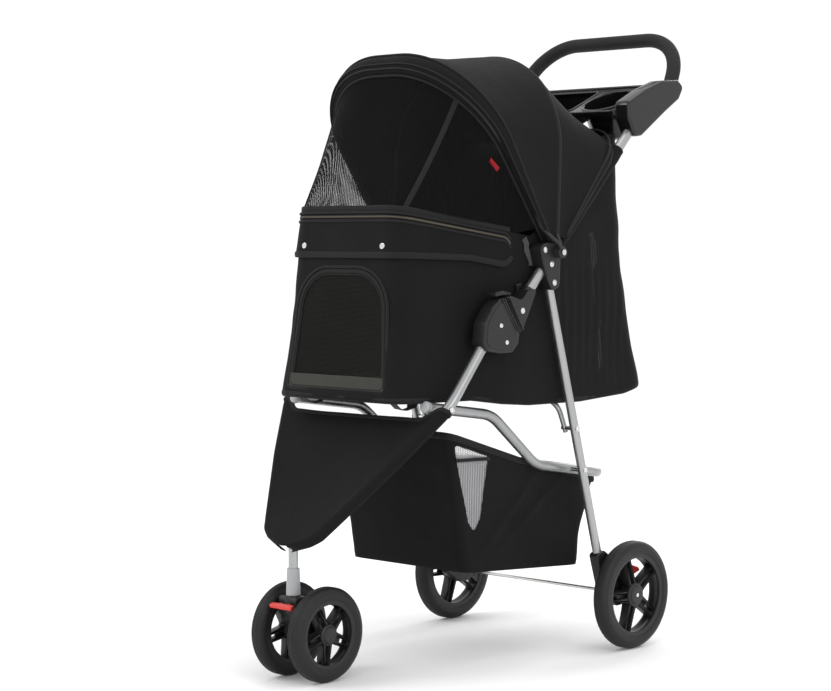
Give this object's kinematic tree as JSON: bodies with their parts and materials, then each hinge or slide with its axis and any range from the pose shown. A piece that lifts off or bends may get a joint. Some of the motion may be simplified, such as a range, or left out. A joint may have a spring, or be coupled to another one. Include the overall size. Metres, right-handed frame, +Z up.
{
  "type": "pet stroller",
  "caption": "Folding three-wheel pet stroller: silver tube frame, black fabric cabin with arched hood, netting visor and doors, basket, front apron, cup tray and padded push bar.",
  "frame": {"origin": "on the floor under the middle of the stroller's outer box", "axes": "+Z up, -Y is the front with the caster, X runs across the stroller"},
  "size_m": [0.415, 0.7845, 0.9875],
  "materials": {
    "silver_tube": "satin silver-grey tube",
    "steel": "bright plated steel",
    "black_plastic": "matt moulded plastic",
    "gloss_plastic": "polished moulded plastic",
    "rim_plastic": "satin moulded plastic",
    "red_plastic": "red moulded plastic",
    "tyre": "solid foam tyre",
    "foam": "soft foam sleeve",
    "black_fabric": "plain woven polyester",
    "black_netting": "woven netting",
    "cushion_fabric": "quilted pad cover",
    "board": "stiff board"
  },
  "bodies": {
    "seat_frame": {"seat_tube": "silver_tube", "seat_tube_caps": "black_plastic", "cabin_shell": "black_fabric", "cabin_band": "black_fabric", "floor_board": "board", "floor_cushion": "cushion_fabric", "basket": "black_fabric"},
    "front_door": {"front_door": "black_netting"},
    "rear_door": {"rear_door": "black_fabric"},
    "rear_legs": {"rear_leg_left": "silver_tube", "rear_leg_right": "silver_tube", "rear_wheel_housing_left": "black_plastic", "rear_wheel_housing_right": "black_plastic", "rear_axle": "steel", "floor_support_hoop": "silver_tube", "leg_pins": "steel"},
    "rear_wheel_left": {"rear_wheel_left_tyre": "tyre", "rear_wheel_left_rim": "rim_plastic"},
    "rear_wheel_right": {"rear_wheel_right_tyre": "tyre", "rear_wheel_right_rim": "rim_plastic"},
    "brake_pedal_left": {"brake_pedal_left": "red_plastic"},
    "brake_pedal_right": {"brake_pedal_right": "red_plastic"},
    "handle": {"upper_tube_left": "silver_tube", "upper_tube_right": "silver_tube", "handle_loop": "silver_tube", "foam_grip": "foam", "parent_tray": "gloss_plastic", "fold_joint_upper_left": "black_plastic", "fold_joint_upper_right": "black_plastic", "leg_bracket_left": "black_plastic", "leg_bracket_right": "black_plastic", "leg_pivot_pins": "steel", "handle_rivets": "steel", "canopy_pins": "steel"},
    "front_leg": {"front_leg_tube": "silver_tube", "caster_stem": "silver_tube", "fold_hinge_pins": "steel", "fold_joint_lower_left": "black_plastic", "fold_joint_lower_right": "black_plastic", "front_leg_rivets": "steel", "apron": "black_fabric"},
    "fold_latch_left": {"fold_latch_left": "black_plastic"},
    "fold_latch_right": {"fold_latch_right": "black_plastic"},
    "caster": {"caster_fork": "black_plastic", "front_axle": "steel"},
    "front_wheel_left": {"front_wheel_left_tyre": "tyre", "front_wheel_left_rim": "rim_plastic"},
    "front_wheel_right": {"front_wheel_right_tyre": "tyre", "front_wheel_right_rim": "rim_plastic"},
    "swivel_lock": {"swivel_lock": "red_plastic"},
    "mid_hoop": {"mid_hoop": "steel", "canopy_rear": "black_fabric"},
    "front_hoop": {"front_hoop": "steel", "canopy_front": "black_fabric", "visor_mesh": "black_netting"}
  },
  "joints": [
    {"name": "rear_leg_fold", "type": "hinge", "parent": "seat_frame", "child": "rear_legs", "pos_m": [0, 0.10375, 0.288], "axis": [1, 0, 0], "range_deg": [0, 25], "deforming": ["cabin_shell", "cabin_band", "basket", "apron", "front_door", "rear_door", "canopy_front", "canopy_rear", "visor_mesh"]},
    {"name": "handle_fold", "type": "hinge", "parent": "rear_legs", "child": "handle", "pos_m": [0, 0.02075, 0.581], "axis": [1, 0, 0], "range_deg": [-73.5, 0]},
    {"name": "front_leg_fold", "type": "hinge", "parent": "handle", "child": "front_leg", "pos_m": [0, -0.08825, 0.494], "axis": [1, 0, 0], "range_deg": [0, 111.5]},
    {"name": "canopy_mid", "type": "hinge", "parent": "handle", "child": "mid_hoop", "pos_m": [0, 0.02775, 0.627], "axis": [1, 0, 0], "range_deg": [-27, 0], "deforming": ["canopy_rear", "canopy_front", "visor_mesh"]},
    {"name": "canopy_front", "type": "hinge", "parent": "mid_hoop", "child": "front_hoop", "pos_m": [0, 0.02775, 0.627], "axis": [1, 0, 0], "range_deg": [-24.9, 0]},
    {"name": "front_door_open", "type": "hinge", "parent": "seat_frame", "child": "front_door", "pos_m": [0, -0.26325, 0.424], "axis": [1, 0, 0], "range_deg": [0, 120]},
    {"name": "rear_door_open", "type": "hinge", "parent": "seat_frame", "child": "rear_door", "pos_m": [0, 0.27515, 0.438], "axis": [1, 0, 0], "range_deg": [-110, 0]},
    {"name": "caster_swivel", "type": "hinge", "parent": "front_leg", "child": "caster", "pos_m": [0, -0.34975, 0.11], "axis": [0, 0, 1], "continuous": true},
    {"name": "swivel_lock_tilt", "type": "hinge", "parent": "caster", "child": "swivel_lock", "pos_m": [0, -0.36525, 0.112], "axis": [1, 0, 0], "range_deg": [-35, 0]},
    {"name": "rear_wheel_left_spin", "type": "hinge", "parent": "rear_legs", "child": "rear_wheel_left", "pos_m": [0.194, 0.19775, 0.085], "axis": [1, 0, 0], "continuous": true},
    {"name": "front_wheel_left_spin", "type": "hinge", "parent": "caster", "child": "front_wheel_left", "pos_m": [0.039, -0.32225, 0.07], "axis": [1, 0, 0], "continuous": true},
    {"name": "brake_pedal_left_press", "type": "hinge", "parent": "rear_legs", "child": "brake_pedal_left", "pos_m": [0.165, 0.21475, 0.118], "axis": [1, 0, 0], "range_deg": [-20, 0]},
    {"name": "fold_latch_left_lift", "type": "hinge", "parent": "front_leg", "child": "fold_latch_left", "pos_m": [0.171, -0.10425, 0.565], "axis": [1, 0, 0], "range_deg": [0, 30]},
    {"name": "rear_wheel_right_spin", "type": "hinge", "parent": "rear_legs", "child": "rear_wheel_right", "pos_m": [-0.194, 0.19775, 0.085], "axis": [1, 0, 0], "continuous": true},
    {"name": "front_wheel_right_spin", "type": "hinge", "parent": "caster", "child": "front_wheel_right", "pos_m": [-0.039, -0.32225, 0.07], "axis": [1, 0, 0], "continuous": true},
    {"name": "brake_pedal_right_press", "type": "hinge", "parent": "rear_legs", "child": "brake_pedal_right", "pos_m": [-0.165, 0.21475, 0.118], "axis": [1, 0, 0], "range_deg": [-20, 0]},
    {"name": "fold_latch_right_lift", "type": "hinge", "parent": "front_leg", "child": "fold_latch_right", "pos_m": [-0.171, -0.10425, 0.565], "axis": [1, 0, 0], "range_deg": [0, 30]}
  ],
  "couplings": [
    {"joint": "handle_fold", "follows": "rear_leg_fold", "ratio": -2.92},
    {"joint": "front_leg_fold", "follows": "rear_leg_fold", "ratio": 4.44},
    {"joint": "canopy_front", "follows": "canopy_mid", "ratio": 0.91}
  ]
}
